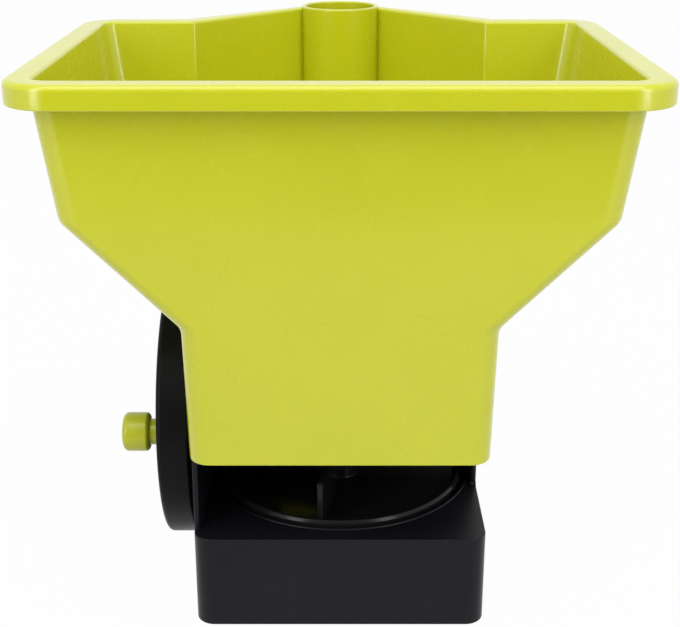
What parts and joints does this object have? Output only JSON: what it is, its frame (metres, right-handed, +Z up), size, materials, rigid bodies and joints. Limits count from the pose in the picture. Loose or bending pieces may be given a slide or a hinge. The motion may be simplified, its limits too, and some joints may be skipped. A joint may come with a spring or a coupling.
{
  "type": "hand spreader",
  "caption": "Hand-cranked broadcast spreader: a wide hopper with a grip tube over a box with a geared spinner, driven by a side crank wheel with a knob; a sliding gate sets the flow.",
  "frame": {"origin": "on the resting plane, under the spinner's axis", "axes": "+Z up along the spinner's axis, +X away from the crank wheel, +Y towards the grip tube"},
  "size_m": [0.251, 0.2543, 0.2408],
  "materials": {
    "lime_plastic": "satin",
    "black_plastic": "satin",
    "steel": "brushed",
    "nylon": "satin",
    "rubber": "matte"
  },
  "bodies": {
    "housing": {"hopper": "lime_plastic", "hopper_screws": "steel", "outlet_plate": "black_plastic", "deck_bush": "nylon", "shaft_seal": "rubber", "base_housing": "black_plastic", "bottom_cover": "black_plastic", "cover_screws": "steel", "wheel_axle": "steel", "axle_washer": "steel", "axle_screw": "steel", "layshaft_bush_outer": "nylon", "layshaft_bush_inner": "nylon", "upper_bush": "nylon", "lower_bush": "nylon", "thrust_washer": "steel"},
    "crank": {"crank_wheel": "black_plastic", "hub_cap": "black_plastic", "knob_pin": "steel"},
    "knob": {"crank_knob": "lime_plastic", "knob_cap": "lime_plastic"},
    "layshaft": {"layshaft": "steel", "spur_pinion": "nylon", "bevel_driver": "nylon", "layshaft_clip": "steel"},
    "spinner": {"spinner_shaft": "steel", "spinner_disc": "black_plastic", "spinner_clip": "steel", "bevel_driven": "nylon", "agitator": "black_plastic"},
    "gate": {"flow_gate": "lime_plastic", "gate_tab": "black_plastic"}
  },
  "joints": [
    {"name": "crank_turn", "type": "hinge", "parent": "housing", "child": "crank", "pos_m": [-0.07, 0.007, 0.07351], "axis": [1, 0, 0], "continuous": true},
    {"name": "knob_spin", "type": "hinge", "parent": "crank", "child": "knob", "pos_m": [-0.087, -0.03866, 0.07911], "axis": [1, 0, 0], "continuous": true},
    {"name": "layshaft_spin", "type": "hinge", "parent": "housing", "child": "layshaft", "pos_m": [-0.04, 0, 0.024], "axis": [1, 0, 0], "continuous": true},
    {"name": "spinner_spin", "type": "hinge", "parent": "housing", "child": "spinner", "pos_m": [0, 0, 0.04], "axis": [0, 0, 1], "continuous": true},
    {"name": "gate_slide", "type": "slide", "parent": "housing", "child": "gate", "axis": [0, 1, 0], "range_m": [0, 0.0194]}
  ],
  "couplings": [
    {"joint": "layshaft_spin", "follows": "crank_turn", "ratio": 9},
    {"joint": "spinner_spin", "follows": "crank_turn", "ratio": -9}
  ]
}
